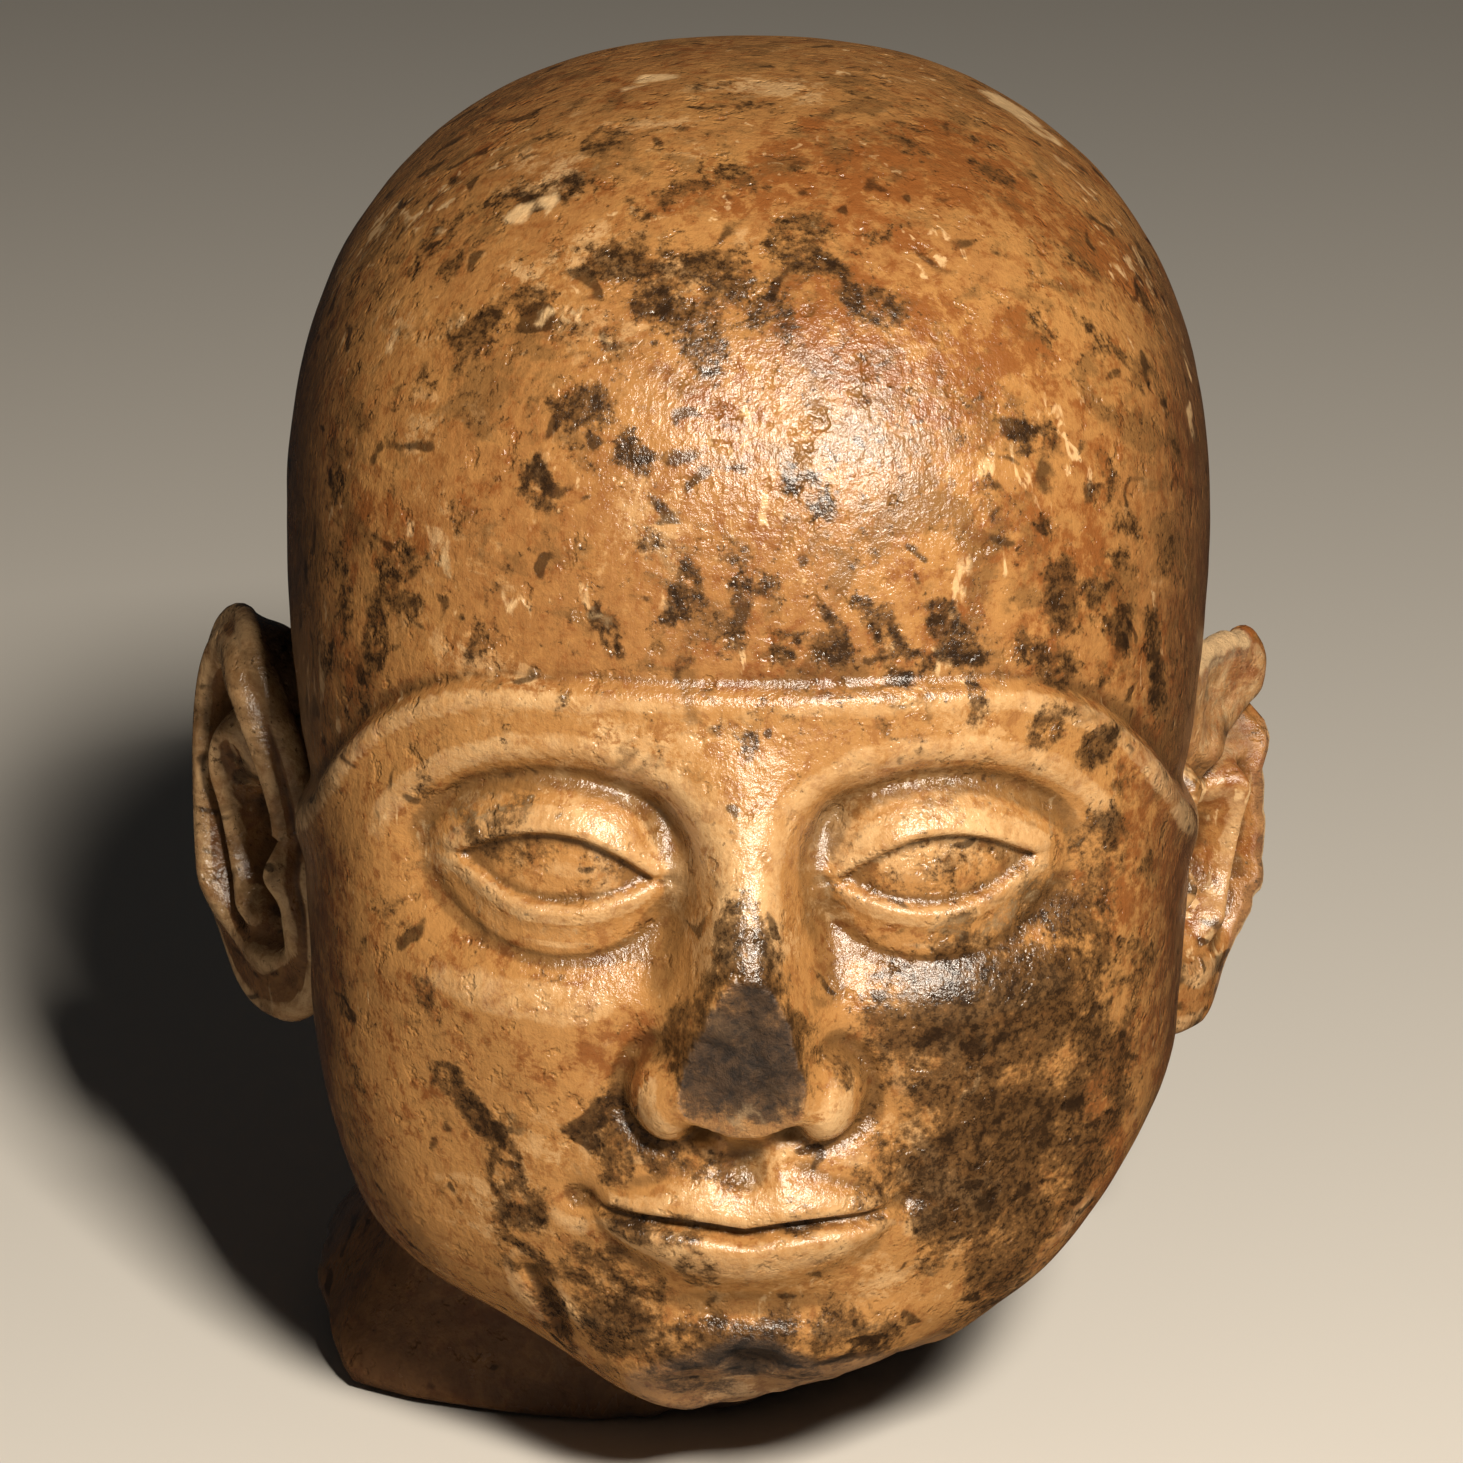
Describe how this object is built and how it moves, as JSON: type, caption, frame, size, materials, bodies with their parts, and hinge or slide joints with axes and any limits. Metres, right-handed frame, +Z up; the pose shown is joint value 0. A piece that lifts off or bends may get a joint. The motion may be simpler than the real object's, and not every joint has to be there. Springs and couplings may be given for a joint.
{
  "type": "carved stone head",
  "caption": "Life-size carved stone head in a close-fitting cap with a calm face; the nose, chin, one ear and the neck are broken.",
  "frame": {"origin": "on the flat underside of the broken neck, on the head's middle plane, about under its centre of mass", "axes": "+Z up through the crown, -Y the way the face looks, +X towards the head's own left ear"},
  "size_m": [0.1911, 0.2125, 0.2356],
  "materials": {
    "stone": "polished brown-ochre limestone with dark grey and cream patches, dull on the breaks"
  },
  "bodies": {
    "root": {"head": "stone"}
  },
  "joints": []
}
